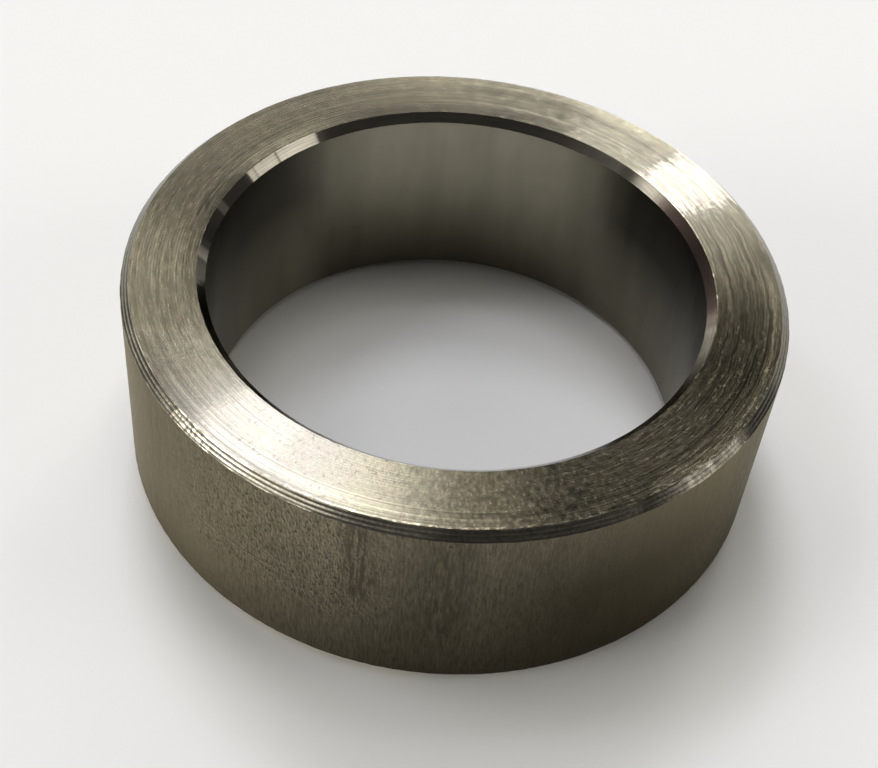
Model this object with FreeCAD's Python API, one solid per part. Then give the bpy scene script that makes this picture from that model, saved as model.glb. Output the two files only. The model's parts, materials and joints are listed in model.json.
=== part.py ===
"""Shaft stop ring: one turned steel ring that is pressed on a shaft and stops what sits beside it.

Millimetres. +Z runs along the bore, and the origin is the middle of the lower end face.
The ring is a lathe part, so half of its section is drawn once and turned about the bore's axis.
"""
import FreeCAD, Part
import os

# Driving sizes
SHAFT_DIAMETER = 35.0      # the bore wall, line to line with the shaft that it is pressed on
OUTER_DIAMETER = 46.5
WIDTH = 15.5               # from end face to end face
OUTER_CHAMFER = 0.6        # at 45 degrees, on both outer edges
LEAD_IN = 0.6              # at 45 degrees, at both mouths of the bore
TOOL_PASSES = 3            # feed marks that the round-nosed tool leaves across an outer chamfer
PASS_DEPTH = 0.03          # depth of each mark below its two crests

# Worked out from them
BORE_RADIUS = SHAFT_DIAMETER / 2
OUTER_RADIUS = OUTER_DIAMETER / 2


def point(radius, height):
    """A point of the half section, which lies in the XZ plane."""
    return FreeCAD.Vector(radius, 0, height)


def straight(start, end):
    """A straight cut: a face, a wall or a smooth chamfer."""
    return [Part.LineSegment(start, end).toShape()]


def scalloped(start, end, body_side):
    """A cut with feed marks: equal shallow arcs from crest to crest, hollowed towards the body's side."""
    step = (end - start) / TOOL_PASSES
    hollow = body_side * PASS_DEPTH
    marks = []
    for i in range(TOOL_PASSES):
        crest = start + step * i
        next_crest = start + step * (i + 1)
        valley = (crest + next_crest) / 2 + hollow
        marks.append(Part.Arc(crest, valley, next_crest).toShape())
    return marks


def section():
    """Half of the ring's section as one closed face, drawn once round from the foot of the bore wall."""
    bore_foot = point(BORE_RADIUS, LEAD_IN)
    lower_face_inner = point(BORE_RADIUS + LEAD_IN, 0)
    lower_face_outer = point(OUTER_RADIUS - OUTER_CHAMFER, 0)
    wall_foot = point(OUTER_RADIUS, OUTER_CHAMFER)
    wall_top = point(OUTER_RADIUS, WIDTH - OUTER_CHAMFER)
    upper_face_outer = point(OUTER_RADIUS - OUTER_CHAMFER, WIDTH)
    upper_face_inner = point(BORE_RADIUS + LEAD_IN, WIDTH)
    bore_top = point(BORE_RADIUS, WIDTH - LEAD_IN)
    edges = straight(bore_foot, lower_face_inner)
    edges += straight(lower_face_inner, lower_face_outer)
    edges += scalloped(lower_face_outer, wall_foot, point(-1, 1).normalize())
    edges += straight(wall_foot, wall_top)
    edges += scalloped(wall_top, upper_face_outer, point(-1, -1).normalize())
    edges += straight(upper_face_outer, upper_face_inner)
    edges += straight(upper_face_inner, bore_top)
    edges += straight(bore_top, bore_foot)
    return Part.Face(Part.Wire(edges))


def stop_ring():
    """The section turned once about the bore's axis."""
    return section().revolve(point(0, 0), FreeCAD.Vector(0, 0, 1), 360)


def main():
    ring = stop_ring()
    if ring.ShapeType != "Solid" or not ring.isValid() or ring.Volume <= 0:
        raise RuntimeError("the ring is not a sound solid")
    os.makedirs("parts", exist_ok=True)
    ring.exportStep("parts/stop_ring.step")
    print("stop_ring: %.1f mm3, %d faces" % (ring.Volume, len(ring.Faces)))


main()
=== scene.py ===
import bmesh
import bpy
import json
import math
import random
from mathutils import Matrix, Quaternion, Vector


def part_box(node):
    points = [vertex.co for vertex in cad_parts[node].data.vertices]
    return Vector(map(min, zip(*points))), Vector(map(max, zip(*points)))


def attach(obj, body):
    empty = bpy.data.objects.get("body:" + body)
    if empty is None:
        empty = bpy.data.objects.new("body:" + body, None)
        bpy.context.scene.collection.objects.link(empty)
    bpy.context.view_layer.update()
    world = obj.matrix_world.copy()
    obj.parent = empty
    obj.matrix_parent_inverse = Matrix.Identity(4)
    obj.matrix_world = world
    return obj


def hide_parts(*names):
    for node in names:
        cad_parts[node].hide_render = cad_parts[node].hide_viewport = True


bl_info = {
    "name": "Shaft stop ring",
    "version": (1, 0, 0),
    "blender": (4, 5, 0),
    "location": "View3D > Sidebar > Stop Ring",
    "description": "Turns a plain steel stop ring, gives it its finishes and lights it on a pale table",
    "category": "Add Mesh",
}

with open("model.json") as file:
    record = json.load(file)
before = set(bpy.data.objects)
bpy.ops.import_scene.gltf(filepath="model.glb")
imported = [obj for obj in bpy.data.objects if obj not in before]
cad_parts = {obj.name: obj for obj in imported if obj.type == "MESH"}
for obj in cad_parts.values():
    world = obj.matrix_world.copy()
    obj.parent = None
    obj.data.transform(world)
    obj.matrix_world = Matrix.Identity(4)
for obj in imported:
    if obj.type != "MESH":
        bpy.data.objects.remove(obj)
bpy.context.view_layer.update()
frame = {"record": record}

MM = 0.001
RING_NODE = "stop_ring"
RING_LOW, RING_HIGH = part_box(RING_NODE)
RECORD = frame["record"]
BORE = next(mount for mount in RECORD["mounts"] if mount["kind"] == "bore")
BORE_LENGTH = BORE["dims"]["length_mm"] * MM

# Marks on the ring are placed by azimuth from a front mark, this many degrees right of the camera's side.
FRONT_MARK = 6.8

# The spin makes one eighth of the ring, which is then doubled three times.
EIGHTH_STEPS = 48
EIGHTH_TURN = math.tau / 8
DOUBLINGS = 3
TOUCH = 1e-7
SMOOTH_ANGLE = math.radians(24)

# How unevenly deep the feed marks are, as a share, and how thin the edge is that they are cut into.
FACING_UNEVENNESS = 0.6
PASS_UNEVENNESS = 0.1
EDGE_THINNESS = 1e-3
# A parabola is this deep halfway between its middle and its ends.
QUARTER_SAG = 0.75

# Points this near to a rim are worn: the rims of the end faces, and those of the outer wall and the bore.
FACE_RIM_REACH = 0.08 * MM
WALL_RIM_REACH = 0.05 * MM
UPPER_SEED = 11
LOWER_SEED = 12

# The UV map of strips, and how tall its strips are as shares of the whole map.
STRIP_MAP = "OFBake"
MAP_ROWS = 1024
STRIP_GAP = 3 / MAP_ROWS
FACE_STRIP = 108 / MAP_ROWS
WALL_STRIP = 202 / MAP_ROWS
BORE_STRIP = 76 / MAP_ROWS
EDGE_STRIP = 14 / MAP_ROWS

# The room: a dim wall all round, a grey one low behind the camera and a pale band at the horizon. Then the
# table and the camera, in metres but for the sensor in mm.
ROOM_GREY = 0.08
LOWER_WALL_GREY = 0.38
HORIZON_GREY = 0.8
TABLE_SIZE = 200
SENSOR_WIDTH = 36
NEAREST_SEEN = 0.005
FARTHEST_SEEN = 100

# Lamps: name, elevation, azimuth to the right of straight back, width, height and lean in degrees, and
# brightness. The key lamps are a little cooler than the rest.
LAMP_DISTANCE = 25.0
COOL_LIGHT = (0.93, 0.98, 1.14)
SOFTBOXES = (
    ("key_back", 54, -15, 13, 13, 0, 13.6),
    ("key_top", 68, -18, 14, 14, 0, 5.8),
    ("key_left", 54, -75, 13, 13, 0, 6.7),
    ("overhead", 80, 0, 20, 20, 0, 3.8),
    ("back_low_right", 12, 15, 13, 13, 0, 15.7),
    ("back_low", 12, -15, 40, 13, 0, 4.8),
    ("back_side_right", 26, 22, 13, 13, 0, 4.8),
    ("back_middle", 26, -15, 28, 13, 0, 2.1),
    ("back_side_left", 26, -38, 13, 13, 0, 6.0),
    ("back_high_left", 40, -30, 13, 13, 0, 2.6),
    ("left_pane", 28, -97, 9, 30, 33, 2.8),
    ("left_low", 12, -112, 24, 13, 0, 11.6),
    ("left_wall", 28, -130, 34, 16, 0, 1.3),
    ("left_high", 42, -80, 13, 13, 0, 0.6),
    ("right_pane_front", 30, 97, 14, 30, -15, 2.4),
    ("right_pane_back", 22, 85, 11, 24, -28, 2.2),
)


class RingShape(bpy.types.PropertyGroup):
    """Sizes of the turned ring."""

    outer_radius: bpy.props.FloatProperty(
        name="Outer radius",
        description="From the axis to the outer wall",
        default=RING_HIGH[0],
        subtype="DISTANCE",
        unit="LENGTH",
    )
    bore_radius: bpy.props.FloatProperty(
        name="Bore radius",
        description="From the axis to the bore wall, half the shaft's diameter",
        default=BORE["dims"]["r_mm"] * MM,
        subtype="DISTANCE",
        unit="LENGTH",
    )
    width: bpy.props.FloatProperty(
        name="Width",
        description="From end face to end face",
        default=RING_HIGH[2] - RING_LOW[2],
        subtype="DISTANCE",
        unit="LENGTH",
    )
    lead_in: bpy.props.FloatProperty(
        name="Lead-in",
        description="Chamfer at both mouths of the bore",
        default=(RING_HIGH[2] - RING_LOW[2] - BORE_LENGTH) / 2,
        subtype="DISTANCE",
        unit="LENGTH",
    )
    outer_chamfer: bpy.props.FloatProperty(
        name="Outer chamfer",
        description="Chamfer on both outer edges",
        default=0.6 * MM,
        subtype="DISTANCE",
        unit="LENGTH",
    )
    tool_passes: bpy.props.IntProperty(
        name="Tool passes",
        description="Feed marks across each outer chamfer",
        default=3,
        min=1,
    )
    pass_depth: bpy.props.FloatProperty(
        name="Pass depth",
        description="Depth of a feed mark on the outer chamfer below its crests",
        default=0.014 * MM,
        subtype="DISTANCE",
        unit="LENGTH",
    )
    rim_wear: bpy.props.FloatProperty(
        name="Rim wear",
        description="How far the points of the rims stray",
        default=0.02 * MM,
        subtype="DISTANCE",
        unit="LENGTH",
    )
    facing_marks: bpy.props.IntProperty(
        name="Facing marks",
        description="Feed marks across each end face",
        default=23,
        min=1,
    )
    facing_depth: bpy.props.FloatProperty(
        name="Facing depth",
        description="Usual depth of a feed mark on an end face",
        default=0.005 * MM,
        subtype="DISTANCE",
        unit="LENGTH",
    )


class RingFinish(bpy.types.PropertyGroup):
    """Colours and gloss of the bare steel."""

    face_colour: bpy.props.FloatVectorProperty(
        name="End face",
        description="Steel of the turned end faces",
        default=(0.215, 0.19, 0.13),
        size=3,
        subtype="COLOR",
    )
    chamfer_colour: bpy.props.FloatVectorProperty(
        name="Chamfers",
        description="Steel of the cut edges",
        default=(0.185, 0.168, 0.13),
        size=3,
        subtype="COLOR",
    )
    wall_colour: bpy.props.FloatVectorProperty(
        name="Outer wall",
        description="Dull drawn skin of the outer wall",
        default=(0.105, 0.093, 0.067),
        size=3,
        subtype="COLOR",
    )
    lead_in_colour: bpy.props.FloatVectorProperty(
        name="Lead-ins",
        description="Polished steel of the chamfers at the mouths of the bore",
        default=(0.24, 0.218, 0.173),
        size=3,
        subtype="COLOR",
    )
    bore_colour: bpy.props.FloatVectorProperty(
        name="Bore",
        description="Smooth steel of the bore wall",
        default=(0.18, 0.167, 0.125),
        size=3,
        subtype="COLOR",
    )
    face_roughness: bpy.props.FloatProperty(
        name="End face roughness",
        description="Gloss of the end faces across and along the feed marks together",
        default=0.25,
        min=0,
        max=1,
        subtype="FACTOR",
    )
    chamfer_roughness: bpy.props.FloatProperty(
        name="Chamfer roughness",
        description="Gloss of the cut edges",
        default=0.22,
        min=0,
        max=1,
        subtype="FACTOR",
    )
    wall_roughness: bpy.props.FloatProperty(
        name="Outer wall roughness",
        description="Gloss of the outer wall",
        default=0.42,
        min=0,
        max=1,
        subtype="FACTOR",
    )
    lead_in_roughness: bpy.props.FloatProperty(
        name="Lead-in roughness",
        description="Gloss of the chamfers at the mouths of the bore",
        default=0.09,
        min=0,
        max=1,
        subtype="FACTOR",
    )
    bore_roughness: bpy.props.FloatProperty(
        name="Bore roughness",
        description="Gloss of the bore wall",
        default=0.22,
        min=0,
        max=1,
        subtype="FACTOR",
    )


class RingStage(bpy.types.PropertyGroup):
    """Camera, lamps and table."""

    camera_elevation: bpy.props.FloatProperty(
        name="Camera elevation",
        description="Angle of the view above the horizon",
        default=math.radians(46.7),
        subtype="ANGLE",
        unit="ROTATION",
    )
    camera_roll: bpy.props.FloatProperty(
        name="Camera roll",
        description="Turn of the camera about its own view",
        default=math.radians(6.16),
        subtype="ANGLE",
        unit="ROTATION",
    )
    camera_distance: bpy.props.FloatProperty(
        name="Camera distance",
        description="From the camera to the point it looks at",
        default=103.1 * MM,
        subtype="DISTANCE",
        unit="LENGTH",
    )
    camera_aim: bpy.props.FloatVectorProperty(
        name="Camera aim",
        description="Point that the camera looks at",
        default=(-0.52 * MM, -10.9 * MM, 15.5 * MM),
        size=3,
        subtype="XYZ",
        unit="LENGTH",
    )
    camera_lens: bpy.props.FloatProperty(
        name="Lens",
        description="Focal length on a 36 mm wide sensor",
        default=65.1,
        subtype="DISTANCE_CAMERA",
        unit="CAMERA",
    )
    light_level: bpy.props.FloatProperty(
        name="Light level",
        description="Strength of all lamps together; at 1 a white sheet on the table is white",
        default=1.0,
        min=0,
    )
    table_colour: bpy.props.FloatVectorProperty(
        name="Table",
        description="Pale table that the ring stands on",
        default=(0.884, 0.86, 0.795),
        size=3,
        subtype="COLOR",
    )


def start_mesh(name):
    """Adds a plane that stands in the XZ plane and opens it in edit mode with all of it selected."""
    bpy.ops.object.select_all(action="DESELECT")
    bpy.ops.mesh.primitive_plane_add(size=1, rotation=(math.pi / 2, 0, 0))
    bpy.ops.object.transform_apply()
    made = bpy.context.object
    made.name = name
    made.data.name = name
    bpy.ops.object.mode_set(mode="EDIT")
    bpy.ops.mesh.select_mode(type="VERT")
    bpy.ops.mesh.select_all(action="SELECT")
    return made


def select_where(test):
    """Selects the vertices in edit mode whose place passes the test, and nothing else."""
    bpy.ops.mesh.select_all(action="DESELECT")
    mesh = bpy.context.edit_object.data
    drawn = bmesh.from_edit_mesh(mesh)
    for vertex in drawn.verts:
        if test(vertex.co):
            vertex.select_set(True)
    drawn.select_flush_mode()
    bmesh.update_edit_mesh(mesh)


def chamfer_corners(radius, size):
    """Chamfers the two corners of the section that lie at that radius."""
    select_where(lambda place: abs(place.x - radius) < TOUCH)
    bpy.ops.mesh.bevel(offset=size, offset_type="OFFSET", segments=1, affect="VERTICES")


def draw_section(shape):
    """Shapes the plane into half of the ring's section and leaves only its outline."""
    wall = shape.outer_radius - shape.bore_radius
    middle = (shape.outer_radius + shape.bore_radius) / 2
    bpy.ops.transform.resize(value=(wall, 1, shape.width))
    bpy.ops.transform.translate(value=(middle, 0, shape.width / 2))
    chamfer_corners(shape.outer_radius, shape.outer_chamfer)
    chamfer_corners(shape.bore_radius, shape.lead_in)
    bpy.ops.mesh.select_all(action="SELECT")
    bpy.ops.mesh.delete(type="ONLY_FACE")


def cut_marks(start, end, hollow, count, depth, unevenness, draw):
    """Cuts feed marks into the straight edge from start to end: shallow hollows from crest to crest.

    Each mark gets three points between its crests, which lie on a parabola towards hollow.
    """
    run = end - start
    quarter = run / (4 * count)

    def step_of(place):
        return round((place - start).dot(run) / run.length_squared * 4 * count)

    def lies_at(step):
        spot = start + quarter * step
        return lambda place: (place - spot).length < TOUCH

    select_where(lambda place: (place - start).length < TOUCH or (place - end).length < TOUCH)
    bpy.ops.mesh.subdivide(number_cuts=4 * count - 1)
    line = (run.length * EDGE_THINNESS) ** 2

    def on_edge(place):
        along = (place - start).dot(run) / run.length_squared
        foot = start + run * min(max(along, 0), 1)
        return (place - foot).length_squared < line

    for mark in range(count):
        sag = hollow * depth * draw.uniform(1 - unevenness, 1 + unevenness)
        inner = (4 * mark + 1, 4 * mark + 2, 4 * mark + 3)
        select_where(lambda place: on_edge(place) and step_of(place) in inner)
        bpy.ops.transform.translate(value=sag * QUARTER_SAG)
        middle = lies_at(4 * mark + 2)
        select_where(lambda place: middle(place - sag * QUARTER_SAG))
        bpy.ops.transform.translate(value=sag * (1 - QUARTER_SAG))


def roughen_rim(radius, height, reach, amount, seed):
    """Moves the points near a rim a little at random, so that it glints like a cut edge."""

    def near(place):
        return math.hypot(math.hypot(place.x, place.y) - radius, place.z - height) < reach

    select_where(near)
    bpy.ops.transform.vertex_random(offset=amount, uniform=0.0, normal=0.0, seed=seed)


def keep_inside(shape):
    """Draws the worn points back inside the ring's plain outline."""
    wear = shape.rim_wear
    for end, beyond in ((0, -1), (shape.width, 1)):
        select_where(lambda place: (place.z - end) * beyond > 0)
        bpy.ops.transform.resize(value=(1, 1, 0), center_override=(0, 0, end))
    select_where(lambda place: math.hypot(place.x, place.y) > shape.outer_radius)
    inward = shape.outer_radius / (shape.outer_radius + wear)
    bpy.ops.transform.resize(value=(inward, inward, 1), center_override=(0, 0, 0))


def turn_once():
    """Spins the outline about the axis by an eighth and doubles it until the ring is closed."""
    bpy.ops.mesh.select_all(action="SELECT")
    bpy.ops.mesh.spin(steps=EIGHTH_STEPS, angle=EIGHTH_TURN, center=(0, 0, 0), axis=(0, 0, 1))
    turn = EIGHTH_TURN
    for _ in range(DOUBLINGS):
        bpy.ops.mesh.select_all(action="SELECT")
        bpy.ops.mesh.duplicate()
        bpy.ops.transform.rotate(value=turn, orient_axis="Z", center_override=(0, 0, 0))
        turn *= 2
    bpy.ops.mesh.select_all(action="SELECT")
    bpy.ops.mesh.remove_doubles(threshold=TOUCH * 10)
    bpy.ops.mesh.normals_make_consistent(inside=False)


class STOPRING_OT_turn_ring(bpy.types.Operator):
    """Turn the ring: draw its section, cut the feed marks and spin it about the bore's axis"""

    bl_idname = "stop_ring.turn_ring"
    bl_label = "Turn the ring"

    def execute(self, context):
        shape = context.scene.ring_shape
        draw = random.Random(7)
        ring = start_mesh("turned_ring")
        draw_section(shape)
        face_inner = shape.bore_radius + shape.lead_in
        face_outer = shape.outer_radius - shape.outer_chamfer
        wall_low = shape.outer_chamfer
        wall_high = shape.width - shape.outer_chamfer
        up = Vector((0, 0, 1))
        inward = Vector((-1, 0, 0))
        for height, hollow in ((0, up), (shape.width, -up)):
            start = Vector((face_inner, 0, height))
            end = Vector((face_outer, 0, height))
            cut_marks(
                start, end, hollow, shape.facing_marks, shape.facing_depth, FACING_UNEVENNESS, draw
            )
        for face_height, wall_height, hollow in (
            (0, wall_low, inward + up),
            (shape.width, wall_high, inward - up),
        ):
            start = Vector((face_outer, 0, face_height))
            end = Vector((shape.outer_radius, 0, wall_height))
            cut_marks(
                start, end, hollow.normalized(), shape.tool_passes, shape.pass_depth, PASS_UNEVENNESS, draw
            )
        turn_once()
        wear = shape.rim_wear
        for seed, height, wall_end, bore_end in (
            (UPPER_SEED, shape.width, wall_high, shape.width - shape.lead_in),
            (LOWER_SEED, 0, wall_low, shape.lead_in),
        ):
            roughen_rim(face_outer, height, FACE_RIM_REACH, wear, seed)
            roughen_rim(face_inner, height, FACE_RIM_REACH, wear, seed + 10)
            roughen_rim(shape.outer_radius, wall_end, WALL_RIM_REACH, wear, seed + 20)
            roughen_rim(shape.bore_radius, bore_end, WALL_RIM_REACH, wear / 2, seed + 30)
        keep_inside(shape)
        bpy.ops.object.mode_set(mode="OBJECT")
        bpy.ops.object.shade_smooth_by_angle(angle=SMOOTH_ANGLE)
        give_finishes(ring, shape, context.scene.ring_finish)
        lay_out_strips(ring, shape)
        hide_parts(RING_NODE)
        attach(ring, "root")
        return {"FINISHED"}


class Nodes:
    """Adds nodes to one node tree. A value is a number, a colour or an output of another node."""

    def __init__(self, tree):
        self.tree = tree

    def feed(self, socket, value):
        """Links an output to the socket, or sets the socket to a plain value."""
        if isinstance(value, bpy.types.NodeSocket):
            self.tree.links.new(value, socket)
        else:
            socket.default_value = value

    def add(self, kind, inputs=None, **settings):
        """Adds a node, sets its settings, and feeds its inputs by name or number."""
        node = self.tree.nodes.new(kind)
        for name, value in settings.items():
            setattr(node, name, value)
        for name, value in (inputs or {}).items():
            self.feed(node.inputs[name], value)
        return node

    def math(self, operation, first, second=0.0, clamp=False):
        """One Math node, kept between 0 and 1 if it is clamped."""
        inputs = {0: first, 1: second}
        return self.add("ShaderNodeMath", inputs, operation=operation, use_clamp=clamp).outputs[0]

    def plus(self, first, second, clamp=False):
        """The sum of two values."""
        return self.math("ADD", first, second, clamp)

    def minus(self, first, second):
        """The first value less the second."""
        return self.math("SUBTRACT", first, second)

    def times(self, first, second, clamp=False):
        """The product of two values."""
        return self.math("MULTIPLY", first, second, clamp)

    def vector(self, operation, first, second=None, scale=None):
        """One Vector Math node: its value if the operation gives one, and otherwise its vector."""
        inputs = {0: first}
        if second is not None:
            inputs[1] = second
        if scale is not None:
            inputs["Scale"] = scale
        node = self.add("ShaderNodeVectorMath", inputs, operation=operation)
        return node.outputs["Value" if operation in ("LENGTH", "DOT_PRODUCT") else "Vector"]

    def stretch(self, value, low, high, to_low, to_high):
        """A value stretched from one range to another and kept inside it."""
        inputs = {"Value": value, "From Min": low, "From Max": high, "To Min": to_low, "To Max": to_high}
        return self.add("ShaderNodeMapRange", inputs, clamp=True).outputs[0]

    def between(self, share, at_none, at_full):
        """A value that goes from one to another as a share goes from 0 to 1."""
        return self.stretch(share, 0, 1, at_none, at_full)

    def vary(self, noise, spread, amount):
        """A factor around 1: noise that is the spread off its middle takes it up or down by the amount."""
        return self.stretch(noise, 0.5 - spread, 0.5 + spread, 1 - amount, 1 + amount)

    def level(self, value, low, high, soft):
        """A share that is 1 between two values and fades to 0 outside them."""
        rise = self.stretch(value, low - soft, low, 0, 1)
        fall = self.stretch(value, high, high + soft, 1, 0)
        return self.times(rise, fall)

    def mix(self, share, first, second):
        """A value between two, by a share from 0 to 1."""
        return self.add("ShaderNodeMix", {0: share, 2: first, 3: second}, data_type="FLOAT").outputs[0]

    def blend(self, share, first, second, blend_type="MIX"):
        """A colour between two, by a share from 0 to 1."""
        inputs = {0: share, 6: first, 7: second}
        return self.add("ShaderNodeMix", inputs, data_type="RGBA", blend_type=blend_type).outputs[2]

    def tune(self, colour, factor):
        """A colour that is lighter or darker by a value."""
        even = self.add("ShaderNodeCombineColor", {0: factor, 1: factor, 2: factor}).outputs[0]
        return self.blend(1.0, colour, even, "MULTIPLY")


class Finish(Nodes):
    """One material with its nodes, and places on the ring in mm: radius, height and the way round.

    A part of the ring is an azimuth from the front mark, a half width and a fading, all in degrees.
    """

    def __init__(self, name, usual_radius):
        self.material, self.shader = start_material(name)
        super().__init__(self.material.node_tree)
        self.usual_radius = usual_radius
        place = self.add("ShaderNodeTexCoord").outputs["Object"]
        self.place = self.vector("SCALE", place, scale=1 / MM)
        parts = self.add("ShaderNodeSeparateXYZ", {0: self.place})
        self.height = parts.outputs[2]
        flat = self.add("ShaderNodeCombineXYZ", {0: parts.outputs[0], 1: parts.outputs[1]}).outputs[0]
        self.radius = self.vector("LENGTH", flat)
        self.turn = self.vector("NORMALIZE", flat)

    def set(self, name, value):
        """Gives the shader one of its values."""
        self.feed(self.shader.inputs[name], value)

    def noise(self, size, detail, roughness, place=None):
        """Noise with cells of that size in mm, or of one on another place."""
        inputs = {
            "Vector": self.place if place is None else place,
            "Scale": 1 / size,
            "Detail": detail,
            "Roughness": roughness,
        }
        return self.add("ShaderNodeTexNoise", inputs).outputs[0]

    def texture(self, across, cells, shift=None):
        """Noise whose cells are wrapped round the ring and run across it with the radius or the height."""
        around, wide, seed, detail, roughness = cells
        circle = self.vector("SCALE", self.turn, scale=self.usual_radius / around)
        rise = self.plus(self.times(across, 1 / wide), seed)
        place = self.vector("ADD", circle, self.add("ShaderNodeCombineXYZ", {2: rise}).outputs[0])
        if shift is not None:
            place = self.vector("ADD", place, shift)
        return self.noise(1, detail, roughness, place)

    def sector(self, part, rag=None):
        """A share that is 1 in a part of the ring.

        rag is a small value, above and below 0, that frays its edges.
        """
        azimuth, half, soft = part
        turn = math.radians(azimuth + FRONT_MARK)
        near = self.vector("DOT_PRODUCT", self.turn, (math.sin(turn), -math.cos(turn), 0))
        if rag is not None:
            near = self.plus(near, rag)
        return self.stretch(near, math.cos(math.radians(half + soft)), math.cos(math.radians(half)), 0, 1)

    def patch(self, part, low, high, soft):
        """A share that is 1 in a part of the ring between two heights in mm."""
        return self.times(self.sector(part), self.level(self.height, low, high, soft))

    def grade(self, part, elsewhere, low, high, at_low, at_high):
        """A factor that goes with the height in one part of the ring and has another value elsewhere."""
        return self.mix(self.sector(part), elsewhere, self.stretch(self.height, low, high, at_low, at_high))

    def tone(self, tones, rag=None):
        """A factor from a list of lighter and darker parts."""
        factor = 1.0
        for *part, strength in tones:
            factor = self.times(self.between(self.sector(part, rag), 1, strength), factor)
        return factor

    def raise_bumps(self, *layers):
        """Gives the shader bumps on top of each other, each from a height and its depth in mm."""
        normal = None
        for height, depth in layers:
            inputs = {"Height": height, "Distance": depth * MM}
            if normal is not None:
                inputs["Normal"] = normal
            normal = self.add("ShaderNodeBump", inputs).outputs[0]
        self.set("Normal", normal)


def start_material(name, metallic=1.0):
    """A new material with only its shader and output."""
    material = bpy.data.materials.new(name)
    material.use_nodes = True
    shader = material.node_tree.nodes["Principled BSDF"]
    shader.inputs["Metallic"].default_value = metallic
    return material, shader


def tinge(colour, factors):
    """An RGBA colour with each channel times its own factor."""
    return (*(channel * factor for channel, factor in zip(colour, factors)), 1)


def shade(colour, factor):
    """An RGBA colour that is lighter or darker by a factor."""
    return tinge(colour, (factor, factor, factor))


def grey(level):
    """A grey RGBA colour."""
    return (level, level, level, 1)


# Tables of the finishes. Textures wrapped round the ring: length along the turn and width across it in mm,
# seed, detail and roughness. Plain noises: size in mm, detail and roughness. Parts: azimuth, half width and
# fading in degrees. Tones are painted light and shade: a part and how much lighter or darker it is. Depths
# are in mm.
FACE_LINES = (16.0, 0.21, 3, 1, 0.5)
FACE_STROKES = (1.2, 0.15, 11, 1, 0.5)
FACE_GRAIN = (0.27, 0.42, 17, 1, 0.5)
FACE_SPARKS = (0.34, 0.2, 29, 0, 0.5)
FACE_FLECKS = (0.3, 0.34, 41, 1, 0.5)
FACE_WOBBLE = (1.0, 2.5, 62, 1, 0.5)
FACE_RIPPLES = (6.0, 0.17, 61, 1, 0.5)
FACE_CELLS = (0.9, 2, 0.6)
FACE_TINT = (0.8, 1, 0.5)
WOBBLE_REACH = 0.4
FACE_FRONT = (-8, 24, 20)
# The darker part of the face: painted shade.
FACE_PAINTED_SHADE = (44, 28, 24)
FACE_BACK = (178, 45, 20)
FACE_RIPPLED = (78, 22, 14)
FACE_WORN = (-25, 35, 15)
FACE_RINGED = (50, 16, 12)
FACE_FLECKED = (-20, 22, 8)
# Parts with the cool tint of painted highlights.
LEFT_HIGHLIGHT = (-40, 11, 10)
RIGHT_HIGHLIGHT = (120, 7, 4)
# Parts with painted glints along the rims.
OUTER_GLINT = (15, 45, 15)
INNER_GLINT = (85, 35, 15)
RIM_LINE = (95, 26, 12)
# Painted light and shade on the face, with a painted highlight on the right.
FACE_PAINTED_LIGHT = (
    (-58, 5.5, 3, 0.7),
    (-44, 7, 3, 1.17),
    (78, 5, 8, 1.3),
    (102, 6, 3, 0.75),
    (120, 6.5, 2.5, 2.0),
)
OUTER_RIM_PAINTED_LIGHT = ((-60, 9, 4, 0.72), (-15, 12, 10, 1.25), (60, 22, 10, 1.8), (165, 25, 15, 1.45))
INNER_RIM_PAINTED_LIGHT = ((-102, 18, 10, 0.75), (-135, 7, 8, 1.5), (178, 20, 12, 0.6))
# Factors for red, green and blue, and the cool tint of the painted highlights.
FACE_PINK = (1.025, 0.99, 0.995)
FACE_OLIVE = (0.98, 1.005, 0.97)
HIGHLIGHT_TINT = (0.99, 1.0, 1.13, 1)
# How wide the worn band and the bands of painted light and shade along the rims are in mm, and over how far
# they fade.
WORN_BAND = 1.3
WORN_FADE = 0.3
RIM_BAND = 0.6
RIM_FADE = 0.8
# Two dark rings: from and to inside the outer rim and their fading. How far the painted glints of the rims
# reach.
FACE_RINGS = ((1.55, 1.45, 0.06), (0.95, 0.87, 0.05))
GLINT_INSIDE = 0.12
GLINT_OUTSIDE = 0.1
INNER_GLINT_REACH = 0.05
GLINT_FADE = 0.05
LINE_DEPTH = 0.0015
STROKE_DEPTH = 0.005
GRAIN_DEPTH = 0.0018
# Painted glints of cut burrs on the bore's rim: azimuths, half width and fading in degrees, and their
# brightness.
RIM_BURRS = (84, 91)
BURR_HALF = 0.35
BURR_FADE = 0.35
BURR_PAINTED_GLINT = 4.0


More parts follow.
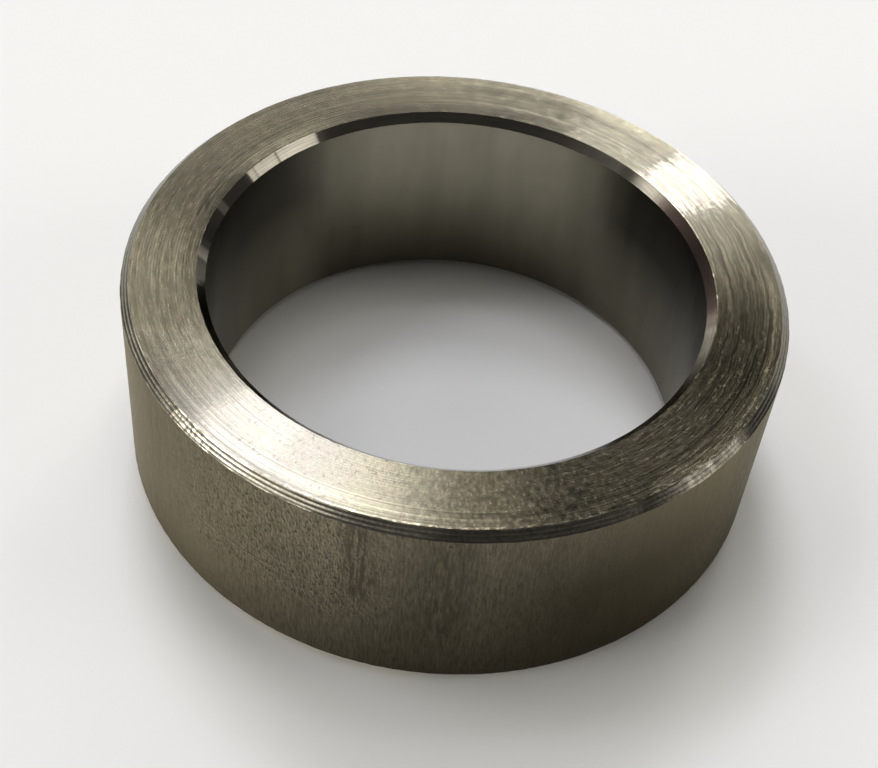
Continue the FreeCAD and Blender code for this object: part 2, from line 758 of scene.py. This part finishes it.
def turned_face_steel(shape, settings):
    """End faces: satin steel with concentric lines, short strokes, a fine grain, painted glints and painted
    light and shade.
    """
    inner = (shape.bore_radius + shape.lead_in) / MM
    outer = (shape.outer_radius - shape.outer_chamfer) / MM
    steel = Finish("turned_face_steel", (inner + outer) / 2)
    plain = settings.face_colour
    radius = steel.radius
    lines = steel.texture(radius, FACE_LINES)
    strokes = steel.texture(radius, FACE_STROKES)
    grain = steel.texture(radius, FACE_GRAIN)
    sparks = steel.texture(radius, FACE_SPARKS)
    flecks = steel.texture(radius, FACE_FLECKS)
    wobble = steel.texture(radius, FACE_WOBBLE)
    ripples = steel.texture(steel.plus(radius, steel.times(wobble, WOBBLE_REACH)), FACE_RIPPLES)
    cells = steel.noise(*FACE_CELLS)
    tint = steel.noise(*FACE_TINT)
    front = steel.sector(FACE_FRONT)
    dark = steel.sector(FACE_PAINTED_SHADE)
    rippled = steel.sector(FACE_RIPPLED)

    # The grain: strokes on the sides, rounder cells behind, fine grain in front, calmer where it ripples.
    brushed = steel.mix(steel.between(steel.sector(FACE_BACK), 0, 0.7), strokes, cells)
    calmed = steel.mix(steel.between(rippled, 0, 0.5), brushed, 0.5)
    mottle = steel.mix(steel.between(front, 0, 0.9), calmed, grain)

    tinted = steel.blend(
        steel.stretch(tint, 0.35, 0.65, 0, 1), tinge(plain, FACE_PINK), tinge(plain, FACE_OLIVE)
    )
    line_factor = steel.mix(front, steel.vary(lines, 0.3, 0.24), steel.vary(lines, 0.3, 0.07))
    line_factor = steel.mix(rippled, line_factor, steel.vary(ripples, 0.2, 0.4))
    lined = steel.tune(tinted, line_factor)
    light = steel.tune(lined, steel.vary(mottle, 0.3, 0.24))
    # In the darker part the colour is painted shade, with a stronger grain.
    deep = steel.tune(lined, steel.stretch(mottle, 0.2, 0.8, 0.28, 1.2))
    colour = steel.blend(dark, light, deep)

    # Worn grooves along the outer rim in front, and two dark rings on the right.
    worn = steel.times(steel.level(radius, outer - WORN_BAND, outer, WORN_FADE), steel.sector(FACE_WORN))
    colour = steel.tune(colour, steel.mix(worn, 1.0, steel.stretch(lines, 0.35, 0.6, 0.7, 1.12)))
    wide, narrow = (
        steel.level(radius, outer - start, outer - end, fade) for start, end, fade in FACE_RINGS
    )
    rings = steel.times(steel.plus(wide, narrow), steel.sector(FACE_RINGED), clamp=True)
    colour = steel.tune(colour, steel.between(rings, 1, 0.55))

    # Painted glints: specks in the darker part, beads along both rims and a line along the inner one.
    beads = steel.stretch(sparks, 0.52, 0.66, 0, 1)
    outer_rim = steel.level(radius, outer - GLINT_INSIDE, outer + GLINT_OUTSIDE, GLINT_FADE)
    inner_rim = steel.level(radius, inner - GLINT_OUTSIDE, inner + INNER_GLINT_REACH, GLINT_FADE)
    outer_glint = steel.times(outer_rim, steel.sector(OUTER_GLINT))
    inner_glint = steel.times(inner_rim, steel.sector(INNER_GLINT))
    rim_line = steel.times(inner_rim, steel.sector(RIM_LINE))
    painted_specks = steel.times(steel.stretch(sparks, 0.64, 0.76, 0, 0.5), dark)
    glints = steel.plus(painted_specks, steel.times(steel.plus(outer_glint, inner_glint), beads))
    glints = steel.plus(glints, steel.times(rim_line, 0.6), clamp=True)
    colour = steel.tune(colour, steel.between(glints, 1, 2.3))

    # Painted light and shade in parts, with frayed ends, and the cool tint of the painted highlights.
    fray = steel.stretch(steel.plus(grain, lines), 0.7, 1.3, -0.005, 0.005)
    colour = steel.tune(colour, steel.tone(FACE_PAINTED_LIGHT, fray))
    painted_highlight = steel.plus(steel.sector(LEFT_HIGHLIGHT, fray), steel.sector(RIGHT_HIGHLIGHT, fray), clamp=True)
    colour = steel.blend(painted_highlight, colour, HIGHLIGHT_TINT, "MULTIPLY")
    # Painted glints on two cut burrs of the inner rim.
    for azimuth in RIM_BURRS:
        painted_burr_glint = steel.times(inner_rim, steel.sector((azimuth, BURR_HALF, BURR_FADE)))
        colour = steel.tune(colour, steel.between(painted_burr_glint, 1, BURR_PAINTED_GLINT))
    flecked = steel.times(steel.stretch(flecks, 0.36, 0.28, 0, 0.5), steel.sector(FACE_FLECKED))
    colour = steel.blend(flecked, colour, shade(plain, 0.45))
    # Painted light and shade in bands along both rims.
    outer_band = steel.level(radius, outer - RIM_BAND, outer, RIM_FADE)
    inner_band = steel.level(radius, inner, inner + RIM_BAND, RIM_FADE)
    outer_tone = steel.mix(outer_band, 1.0, steel.tone(OUTER_RIM_PAINTED_LIGHT))
    inner_tone = steel.mix(inner_band, 1.0, steel.tone(INNER_RIM_PAINTED_LIGHT))
    steel.set("Base Color", steel.tune(colour, steel.times(outer_tone, inner_tone)))

    # The highlights are drawn out across the feed marks.
    steel.set("Roughness", steel.plus(steel.stretch(mottle, 0.3, 0.7, -0.03, 0.03), settings.face_roughness))
    steel.set("Anisotropic", 1.0)
    steel.set("Anisotropic Rotation", 0.25)
    steel.set("Tangent", steel.add("ShaderNodeTangent", direction_type="RADIAL", axis="Z").outputs[0])
    steel.raise_bumps(
        (lines, LINE_DEPTH),
        (steel.times(strokes, steel.between(front, 1, 0.2)), STROKE_DEPTH),
        (steel.times(grain, front), GRAIN_DEPTH),
    )
    return steel.material


EDGE_LINES = (1.6, 0.09, 5, 2, 0.6)
EDGE_CHATTER = (0.3, 0.3, 51, 1, 0.5)
EDGE_GRAIN = (0.25, 1, 0.5)
EDGE_BLOTCHES = (0.55, 2, 0.6)
# The left part of the chamfers: painted light, and deeper painted shade in the feed marks.
EDGE_PAINTED_LIGHT = (-52, 30, 20)
# Tool chatter with a painted sparkle where the left highlight falls.
EDGE_SPARKLE = (-50, 4, 3)
EDGE_BLOTCHED = (44, 9, 3)
# Painted light and shade round the chamfers.
CHAMFER_PAINTED_LIGHT = (
    (-65, 6, 6, 2.2),
    (-27, 14, 9, 2.3),
    (8, 16, 8, 1.4),
    (31, 3, 2.5, 0.4),
    (43.5, 0.8, 0.9, 0.65),
    (49.5, 1.6, 1.0, 1.6),
    (57, 5, 3, 0.5),
)
EDGE_LINE_DEPTH = 0.003
EDGE_GRAIN_DEPTH = 0.004


def cut_edge_steel(shape, settings):
    """Outer chamfers: steel with bright crests and painted shade in the feed marks between them, painted
    light and shade round the ring and a painted sparkle.
    """
    steel = Finish("cut_edge_steel", shape.outer_radius / MM)
    plain = settings.chamfer_colour
    lines = steel.texture(steel.radius, EDGE_LINES)
    chatter = steel.texture(steel.radius, EDGE_CHATTER)
    grain = steel.noise(*EDGE_GRAIN)
    blotches = steel.noise(*EDGE_BLOTCHES)
    painted_light_part = steel.sector(EDGE_PAINTED_LIGHT)
    # Painted shade in the hollows of the feed marks, deepest in the left part, and painted light there.
    from_wall = steel.minus(steel.usual_radius, steel.radius)
    pace = math.tau * shape.tool_passes / (shape.outer_chamfer / MM)
    wave = steel.math("COSINE", steel.times(from_wall, pace))
    painted_valley_shade = steel.times(steel.stretch(wave, -0.7, 0.5, 1, 0), steel.between(painted_light_part, 0.12, 0.78))
    colour = steel.blend(steel.stretch(grain, 0.3, 0.7, 0, 1), shade(plain, 0.8), shade(plain, 1.25))
    colour = steel.tune(colour, steel.between(painted_light_part, 0.9, 1.5))
    colour = steel.blend(painted_valley_shade, colour, shade(plain, 0.2))
    # Painted light and shade round the ring.
    colour = steel.tune(colour, steel.tone(CHAMFER_PAINTED_LIGHT))
    colour = steel.tune(colour, steel.vary(lines, 0.25, 0.25))
    painted_sparkle = steel.mix(steel.sector(EDGE_SPARKLE), 1.0, steel.stretch(chatter, 0.42, 0.56, 0.45, 1.5))
    blotched = steel.mix(steel.sector(EDGE_BLOTCHED), 1.0, steel.stretch(blotches, 0.4, 0.6, 0.65, 1.3))
    steel.set("Base Color", steel.tune(colour, steel.times(painted_sparkle, blotched)))
    steel.set("Roughness", settings.chamfer_roughness)
    steel.raise_bumps((lines, EDGE_LINE_DEPTH), (grain, EDGE_GRAIN_DEPTH))
    return steel.material


LEAD_IN_LINES = (3.0, 0.1, 6, 1, 0.5)
LEAD_IN_BROWN = (98, 16, 8)
LEAD_IN_DARK = (-88, 10, 10)
LEAD_IN_DULL = (105, 40, 20)
# Painted light and shade round the lead-ins, with two small painted glints at -111 and -95 degrees.
LEAD_IN_PAINTED_LIGHT = (
    (92, 8, 6, 0.62),
    (123, 3, 2, 1.5),
    (131, 1.5, 1.5, 0.5),
    (-111, 1.0, 0.8, 3.0),
    (-95, 1.2, 1.2, 3.5),
)
LEAD_IN_DEPTH = 0.0008
BROWN_TINT = (0.2, 0.14, 0.115, 1)
DULL_ROUGHNESS = 0.24


def lead_in_steel(shape, settings):
    """Chamfers at the mouths of the bore: nearly polished steel with a brown tint on one side, painted light
    and shade and two small painted glints.
    """
    steel = Finish("lead_in_steel", shape.bore_radius / MM)
    plain = settings.lead_in_colour
    lines = steel.texture(steel.radius, LEAD_IN_LINES)
    colour = steel.blend(steel.sector(LEAD_IN_BROWN), (*plain, 1), BROWN_TINT)
    colour = steel.blend(steel.sector(LEAD_IN_DARK), colour, shade(plain, 0.5))
    colour = steel.tune(colour, steel.vary(lines, 0.25, 0.15))
    steel.set("Base Color", steel.tune(colour, steel.tone(LEAD_IN_PAINTED_LIGHT)))
    dull = steel.sector(LEAD_IN_DULL)
    steel.set("Roughness", steel.between(dull, settings.lead_in_roughness, DULL_ROUGHNESS))
    steel.raise_bumps((lines, LEAD_IN_DEPTH))
    return steel.material


WALL_FIBRES = (0.13, 0.9, 2, 1, 0.5)
WALL_STREAKS = (0.5, 6.0, 15, 1, 0.5)
WALL_RUNS = (1.5, 14.0, 8, 2, 0.6)
WALL_PEEL = (0.26, 0.55, 33, 2, 0.55)
WALL_MARKS = (0.26, 1.7, 44, 1, 0.5)
WALL_PITS = (0.17, 0.34, 21, 1, 0.5)
WALL_BLOTCHES = (2.2, 3, 0.6)
# Shift of the noise for the painted light beside each pit.
PIT_SIDE = (0.3, 0, 0.25)
WALL_LEFT = (-14, 24, 16)
# Painted light and shade round the wall.
WALL_PAINTED_LIGHT = ((-35, 14, 12, 1.5), (70, 13, 10, 0.38))
# Painted shade in parts, changing with the height: the lower and the upper mm, and the factors there.
WALL_PAINTED_SHADE = (((14, 30, 24), 0.6, 14.9, 0.51, 1.24), ((48, 28, 18), 8.5, 15.5, 0.38, 1.08))
# Stains down the outer wall: azimuth, half width and fading in degrees, lowest and highest mm, strength.
WALL_STAINS = (
    (-17.5, 1.5, 2.5, 8.5, 15.0, 0.75),
    (-3.5, 2.0, 2.5, 5.5, 15.0, 0.5),
    (-55, 5, 8, 10.0, 15.0, 0.25),
    (26, 6, 8, 1.0, 6.0, 0.25),
)
# The rough patch: its part of the wall, lowest and highest mm and fading in mm. The scratch: its part.
ROUGH_PATCH = ((-34, 12, 12), 6.5, 15, 2.5)
SCRATCH = (-41, 7, 2)
# The scratch's dark and light lines: lowest and highest mm, strength and factor.
SCRATCH_LINES = ((7.6, 7.66, 0.5, 0.4), (7.44, 7.5, 0.4, 1.9))
SCRATCH_FADE = 0.05
STAIN_FADE = 1.5
FIBRE_DEPTH = 0.004
PEEL_DEPTH = 0.03
PIT_DEPTH = 0.012
WALL_SHEEN = (1.0, 0.93, 0.76, 1)


def drawn_wall_steel(shape, settings):
    """Outer wall: dull olive-brown steel with fine fibres along the axis, pits with painted side light,
    stains, painted light and shade round the wall and painted shade towards its foot.
    """
    steel = Finish("drawn_wall_steel", shape.outer_radius / MM)
    plain = settings.wall_colour
    height = steel.height
    fibres = steel.texture(height, WALL_FIBRES)
    streaks = steel.texture(height, WALL_STREAKS)
    runs = steel.texture(height, WALL_RUNS)
    peel = steel.texture(height, WALL_PEEL)
    marks = steel.texture(height, WALL_MARKS)
    pits = steel.texture(height, WALL_PITS)
    pits_beside = steel.texture(height, WALL_PITS, PIT_SIDE)
    blotches = steel.noise(*WALL_BLOTCHES)
    rough_patch = steel.patch(*ROUGH_PATCH)

    fine = steel.mix(
        steel.sector(WALL_LEFT), steel.vary(fibres, 0.25, 0.18), steel.vary(fibres, 0.25, 0.38)
    )
    colour = steel.tune((*plain, 1), fine)
    colour = steel.tune(colour, steel.vary(streaks, 0.25, 0.06))
    colour = steel.blend(steel.stretch(runs, 0.52, 0.7, 0, 0.15), colour, shade(plain, 0.6))
    colour = steel.blend(steel.stretch(blotches, 0.4, 0.7, 0, 0.12), colour, shade(plain, 1.4))

    # Pits: painted light on one side of each, and dark where they are deep.
    painted_side_light = steel.times(steel.minus(pits_beside, pits), steel.between(rough_patch, 0.5, 1.9))
    colour = steel.tune(colour, steel.plus(painted_side_light, 1.0))
    deep = steel.stretch(steel.plus(pits, steel.times(rough_patch, 0.11)), 0.68, 0.8, 0, 0.8)
    colour = steel.blend(deep, colour, shade(plain, 0.3))

    for *part, low, high, strength in WALL_STAINS:
        stain = steel.patch(part, low, high, STAIN_FADE)
        broken = steel.times(stain, steel.stretch(marks, 0.44, 0.58, 0.12, 1))
        colour = steel.blend(steel.times(broken, strength), colour, shade(plain, 0.35))
    for low, high, strength, factor in SCRATCH_LINES:
        line = steel.patch(SCRATCH, low, high, SCRATCH_FADE)
        colour = steel.blend(steel.times(line, strength), colour, shade(plain, factor))

    # Painted shade: the wall gets darker towards its foot, most of all on the right; painted light and shade
    # round the wall.
    foot = 1.0
    for part, *grade in WALL_PAINTED_SHADE:
        foot = steel.grade(part, foot, *grade)
    steel.set("Base Color", steel.tune(colour, steel.times(foot, steel.tone(WALL_PAINTED_LIGHT))))
    steel.set("Specular Tint", WALL_SHEEN)
    gloss = settings.wall_roughness
    steel.set("Roughness", steel.stretch(fibres, 0.3, 0.7, gloss - 0.05, gloss + 0.06))
    steel.raise_bumps(
        (fibres, FIBRE_DEPTH),
        (steel.times(peel, steel.between(rough_patch, 0.3, 1)), PEEL_DEPTH),
        (steel.minus(1.0, deep), PIT_DEPTH),
    )
    return steel.material


BORE_BANDS = (2.4, 12.0, 4, 2, 0.5)
BORE_HAZE = (1.6, 3, 0.6)
BORE_HAZE_DEPTH = 0.004
# Painted light and shade in parts that change with the height: the factor elsewhere, the lower and the upper
# mm, and the factors there.
BORE_BACK = ((176, 22, 28), 0.78, 5, 14, 1.15, 1.75)
BORE_RIGHT = ((104, 22, 14), 1.0, 2.5, 10.5, 1.8, 0.28)
BORE_LEFT = ((232, 10, 12), 1.0, 1.5, 10.5, 2.5, 0.55)
# Painted shade low in the bore: the lower and the upper mm, and the factors there.
BORE_LOW = (2, 9, 0.8, 1.0)


def bored_steel(shape, settings):
    """Bore wall: smooth satin steel with faint bands, and painted light and shade: brighter behind, darker
    high up on the sides and low down.
    """
    steel = Finish("bored_steel", shape.bore_radius / MM)
    plain = settings.bore_colour
    bands = steel.texture(steel.height, BORE_BANDS)
    haze = steel.noise(*BORE_HAZE)
    colour = steel.blend(steel.stretch(bands, 0.35, 0.65, 0, 1), shade(plain, 0.9), shade(plain, 1.08))
    colour = steel.blend(steel.stretch(haze, 0.4, 0.7, 0, 0.3), colour, shade(plain, 0.85))
    sides = steel.times(steel.grade(*BORE_LEFT), steel.grade(*BORE_RIGHT))
    painted_shading = steel.times(steel.times(steel.grade(*BORE_BACK), sides), steel.stretch(steel.height, *BORE_LOW))
    steel.set("Base Color", steel.tune(colour, painted_shading))
    steel.set("Roughness", settings.bore_roughness)
    steel.raise_bumps((haze, BORE_HAZE_DEPTH))
    return steel.material


def give_finishes(ring, shape, settings):
    """Gives the faces, chamfers, outer wall and bore their own finish by where they lie."""
    for make in (turned_face_steel, cut_edge_steel, drawn_wall_steel, bored_steel, lead_in_steel):
        ring.data.materials.append(make(shape, settings))
    on_face, on_edge, on_wall, on_bore, on_lead_in = range(5)
    face_inner = shape.bore_radius + shape.lead_in
    face_outer = shape.outer_radius - shape.outer_chamfer
    for polygon in ring.data.polygons:
        centre = polygon.center
        radius = math.hypot(centre.x, centre.y)
        near_end = min(centre.z, shape.width - centre.z)
        if near_end < shape.outer_chamfer and radius > face_outer:
            polygon.material_index = on_edge
        elif near_end < shape.lead_in and radius < face_inner:
            polygon.material_index = on_lead_in
        elif face_inner < radius < face_outer:
            polygon.material_index = on_face
        elif radius > face_outer:
            polygon.material_index = on_wall
        else:
            polygon.material_index = on_bore


def lay_out_strips(ring, shape):
    """Unrolls the ring into strips of one UV map."""
    bpy.ops.object.select_all(action="DESELECT")
    ring.select_set(True)
    bpy.context.view_layer.objects.active = ring
    bpy.ops.mesh.uv_texture_add()
    layer = ring.data.uv_layers.active
    layer.name = STRIP_MAP
    face_inner = shape.bore_radius + shape.lead_in
    face_outer = shape.outer_radius - shape.outer_chamfer
    rows = {}
    bottom = STRIP_GAP
    for kind, low, high, parts, tall in (
        ("lower face", face_inner, face_outer, 2, FACE_STRIP),
        ("upper face", face_inner, face_outer, 2, FACE_STRIP),
        ("wall", shape.outer_chamfer, shape.width - shape.outer_chamfer, 2, WALL_STRIP),
        ("bore", shape.lead_in, shape.width - shape.lead_in, 1, BORE_STRIP),
        ("lower edge", face_outer, shape.outer_radius, 1, EDGE_STRIP),
        ("upper edge", face_outer, shape.outer_radius, 1, EDGE_STRIP),
        ("lower lead-in", shape.bore_radius, face_inner, 1, EDGE_STRIP),
        ("upper lead-in", shape.bore_radius, face_inner, 1, EDGE_STRIP),
    ):
        rows[kind] = (bottom, low, high, parts, tall)
        bottom += (tall + STRIP_GAP) * parts
    for polygon in ring.data.polygons:
        centre = polygon.center
        end = "lower " if centre.z < shape.width / 2 else "upper "
        kind = (end + "face", end + "edge", "wall", "bore", end + "lead-in")[polygon.material_index]
        start, low, high, parts, tall = rows[kind]
        turn = math.atan2(centre.y, centre.x) % math.tau
        part = int(turn / math.tau * parts)
        start += part * (tall + STRIP_GAP)
        for loop in polygon.loop_indices:
            place = ring.data.vertices[ring.data.loops[loop].vertex_index].co
            beyond = math.atan2(place.y, place.x) - turn
            beyond = (beyond + math.pi) % math.tau - math.pi
            along = (turn + beyond) / math.tau * parts - part
            across = place.z if kind in ("wall", "bore") else math.hypot(place.x, place.y)
            share = (across - low) / (high - low)
            layer.data[loop].uv = (along * (1 - 2 * STRIP_GAP) + STRIP_GAP, start + share * tall)


def way_to(elevation, azimuth):
    """A direction from the ring: degrees above the table, and degrees to the right of straight back."""
    up = math.radians(elevation)
    turn = math.radians(azimuth)
    return Vector((math.cos(up) * math.sin(turn), math.cos(up) * math.cos(turn), math.sin(up)))


def add_softbox(name, elevation, azimuth, wide, tall, lean, brightness):
    """A far rectangular lamp that faces the ring.

    It is wide and tall in degrees as the ring sees it, its top leans so far to the right from there, and
    brightness 1 makes it as bright as white paper looks.
    """
    bpy.ops.object.select_all(action="DESELECT")
    way = way_to(elevation, azimuth)
    bpy.ops.object.light_add(type="AREA", location=way * LAMP_DISTANCE)
    lamp = bpy.context.object
    lamp.name = name
    leaning = way.to_track_quat("Z", "Y") @ Quaternion((0, 0, 1), math.radians(lean))
    lamp.rotation_euler = leaning.to_euler()
    lamp.data.shape = "RECTANGLE"
    lamp.data.size = 2 * LAMP_DISTANCE * math.tan(math.radians(wide / 2))
    lamp.data.size_y = 2 * LAMP_DISTANCE * math.tan(math.radians(tall / 2))
    lamp.data.energy = brightness * math.pi * lamp.data.size * lamp.data.size_y
    lamp.visible_camera = False
    if name.startswith("key"):
        lamp.data.color = COOL_LIGHT
    return lamp


def add_table(stage):
    """A wide pale table under the ring."""
    bpy.ops.object.select_all(action="DESELECT")
    bpy.ops.mesh.primitive_plane_add(size=TABLE_SIZE, location=(0, 0, 0))
    table = bpy.context.object
    table.name = "pale_table"
    material, shader = start_material("pale_table", metallic=0.0)
    shader.inputs["Base Color"].default_value = (*stage.table_colour, 1)
    shader.inputs["Roughness"].default_value = 0.9
    shader.inputs["Specular IOR Level"].default_value = 0.1
    table.data.materials.append(material)


def light_room(stage):
    """A dim plain room with a pale band at the horizon and a grey wall behind the camera."""
    world = bpy.data.worlds.new("plain_room")
    bpy.context.scene.world = world
    world.use_nodes = True
    room = Nodes(world.node_tree)
    way = room.add("ShaderNodeTexCoord").outputs["Generated"]
    rise = room.add("ShaderNodeSeparateXYZ", {0: way}).outputs[2]
    to_camera_side = room.vector("DOT_PRODUCT", way, (0, -1, 0))
    lower_wall = room.times(room.stretch(to_camera_side, 0, 0.5, 0, 1), room.stretch(rise, 0.15, 0.45, 1, 0))
    wall = room.blend(lower_wall, grey(ROOM_GREY), grey(LOWER_WALL_GREY))
    colour = room.blend(room.stretch(rise, 0, 0.2, 1, 0), wall, grey(HORIZON_GREY))
    background = world.node_tree.nodes["Background"]
    room.feed(background.inputs["Color"], colour)
    background.inputs["Strength"].default_value = 1.0


def aim_camera(stage):
    """The camera, turned from lying flat to its elevation and then rolled."""
    bpy.ops.object.camera_add()
    camera = bpy.context.object
    camera.name = "main_camera"
    tilt = math.pi / 2 - stage.camera_elevation
    back = Vector((0, -math.cos(stage.camera_elevation), math.sin(stage.camera_elevation)))
    camera.location = Vector(stage.camera_aim) + back * stage.camera_distance
    camera.rotation_mode = "ZYX"
    camera.rotation_euler = (tilt, 0, stage.camera_roll)
    camera.data.sensor_width = SENSOR_WIDTH
    camera.data.lens = stage.camera_lens
    camera.data.clip_start = NEAREST_SEEN
    camera.data.clip_end = FARTHEST_SEEN
    bpy.context.scene.camera = camera


class STOPRING_OT_set_stage(bpy.types.Operator):
    """Set the stage: a pale table, softboxes and the camera"""

    bl_idname = "stop_ring.set_stage"
    bl_label = "Set the stage"

    def execute(self, context):
        stage = context.scene.ring_stage
        add_table(stage)
        light_room(stage)
        for *box, brightness in SOFTBOXES:
            add_softbox(*box, brightness * stage.light_level)
        aim_camera(stage)
        context.scene.view_settings.view_transform = "Standard"
        return {"FINISHED"}


class STOPRING_PT_panel(bpy.types.Panel):
    """Lists the steps that make the ring and its sizes and finishes"""

    bl_label = "Shaft stop ring"
    bl_space_type = "VIEW_3D"
    bl_region_type = "UI"
    bl_category = "Stop Ring"

    def draw(self, context):
        layout = self.layout
        scene = context.scene
        for settings in (scene.ring_shape, scene.ring_finish, scene.ring_stage):
            box = layout.box()
            for name in settings.__annotations__:
                box.prop(settings, name)
        layout.operator(STOPRING_OT_turn_ring.bl_idname)
        layout.operator(STOPRING_OT_set_stage.bl_idname)


SETTINGS = {"ring_shape": RingShape, "ring_finish": RingFinish, "ring_stage": RingStage}
CLASSES = (
    RingShape,
    RingFinish,
    RingStage,
    STOPRING_OT_turn_ring,
    STOPRING_OT_set_stage,
    STOPRING_PT_panel,
)


def register():
    for each in CLASSES:
        bpy.utils.register_class(each)
    for name, group in SETTINGS.items():
        setattr(bpy.types.Scene, name, bpy.props.PointerProperty(type=group))


def unregister():
    for name in SETTINGS:
        delattr(bpy.types.Scene, name)
    for each in reversed(CLASSES):
        bpy.utils.unregister_class(each)


def main():
    register()
    bpy.ops.stop_ring.turn_ring()
    bpy.ops.stop_ring.set_stage()


if __name__ == "__main__":
    main()
